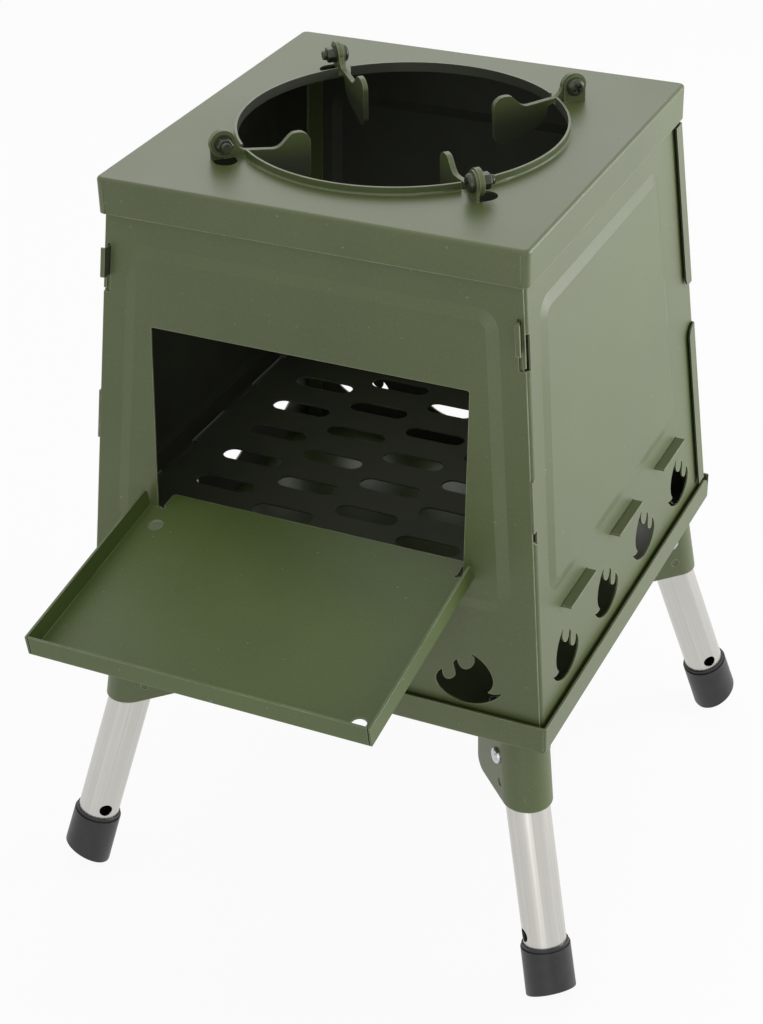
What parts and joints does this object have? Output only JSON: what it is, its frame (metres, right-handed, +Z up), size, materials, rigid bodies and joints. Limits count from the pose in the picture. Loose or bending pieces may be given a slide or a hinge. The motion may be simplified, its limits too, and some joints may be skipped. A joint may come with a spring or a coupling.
{
  "type": "folding tent wood stove",
  "caption": "Square tapered sheet-metal wood stove with folding tube legs, hooked walls, slotted grate, sloping fuel tray and a collared pot hole with flip-over pot supports.",
  "frame": {"origin": "on the floor below the middle of the base pan", "axes": "+Z up, -Y towards the fire door and the fuel tray, +X to the right seen from the door side"},
  "size_m": [0.3384, 0.4337, 0.4686],
  "materials": {
    "olive_coat": "fine textured powder coat",
    "plated_steel": "zinc plated",
    "tube_metal": "satin",
    "black_rubber": "matt"
  },
  "bodies": {
    "stove": {"base_pan": "olive_coat", "front_panel": "olive_coat", "back_panel": "olive_coat", "left_panel": "olive_coat", "right_panel": "olive_coat", "grate": "olive_coat", "leg_bracket_fr": "olive_coat", "leg_bracket_br": "olive_coat", "leg_bracket_bl": "olive_coat", "leg_bracket_fl": "olive_coat", "leg_rivet_fr": "plated_steel", "leg_rivet_br": "plated_steel", "leg_rivet_bl": "plated_steel", "leg_rivet_fl": "plated_steel", "bracket_rivets": "plated_steel"},
    "lid": {"lid": "olive_coat", "support_screws": "plated_steel", "support_washers": "plated_steel", "support_nuts": "plated_steel"},
    "tray": {"feed_tray": "olive_coat"},
    "support_fr": {"pot_support_fr": "olive_coat"},
    "support_br": {"pot_support_br": "olive_coat"},
    "support_bl": {"pot_support_bl": "olive_coat"},
    "support_fl": {"pot_support_fl": "olive_coat"},
    "leg_fr": {"leg_fr": "tube_metal", "foot_cap_fr": "black_rubber"},
    "leg_br": {"leg_br": "tube_metal", "foot_cap_br": "black_rubber"},
    "leg_bl": {"leg_bl": "tube_metal", "foot_cap_bl": "black_rubber"},
    "leg_fl": {"leg_fl": "tube_metal", "foot_cap_fl": "black_rubber"}
  },
  "joints": [
    {"name": "lid_lift", "type": "slide", "parent": "stove", "child": "lid", "axis": [0, 0, 1], "range_m": [0, 0.06]},
    {"name": "tray_unhook", "type": "slide", "parent": "stove", "child": "tray", "axis": [0, 0.0848, 0.9964], "range_m": [0, 0.012]},
    {"name": "support_fr_flip", "type": "hinge", "parent": "lid", "child": "support_fr", "pos_m": [0.07283, -0.07283, 0.4612], "axis": [0.7071, 0.7071, 0], "range_deg": [0, 190]},
    {"name": "support_br_flip", "type": "hinge", "parent": "lid", "child": "support_br", "pos_m": [0.07283, 0.07283, 0.4612], "axis": [-0.7071, 0.7071, 0], "range_deg": [0, 190]},
    {"name": "support_bl_flip", "type": "hinge", "parent": "lid", "child": "support_bl", "pos_m": [-0.07283, 0.07283, 0.4612], "axis": [-0.7071, -0.7071, 0], "range_deg": [0, 190]},
    {"name": "support_fl_flip", "type": "hinge", "parent": "lid", "child": "support_fl", "pos_m": [-0.07283, -0.07283, 0.4612], "axis": [0.7071, -0.7071, 0], "range_deg": [0, 190]},
    {"name": "leg_fr_fold", "type": "hinge", "parent": "stove", "child": "leg_fr", "pos_m": [0.12198, -0.12198, 0.14791], "axis": [0.7071, 0.7071, 0], "range_deg": [0, 108]},
    {"name": "leg_br_fold", "type": "hinge", "parent": "stove", "child": "leg_br", "pos_m": [0.12198, 0.12198, 0.14791], "axis": [-0.7071, 0.7071, 0], "range_deg": [0, 108]},
    {"name": "leg_bl_fold", "type": "hinge", "parent": "stove", "child": "leg_bl", "pos_m": [-0.12198, 0.12198, 0.14791], "axis": [-0.7071, -0.7071, 0], "range_deg": [0, 108]},
    {"name": "leg_fl_fold", "type": "hinge", "parent": "stove", "child": "leg_fl", "pos_m": [-0.12198, -0.12198, 0.14791], "axis": [0.7071, -0.7071, 0], "range_deg": [0, 108]}
  ]
}
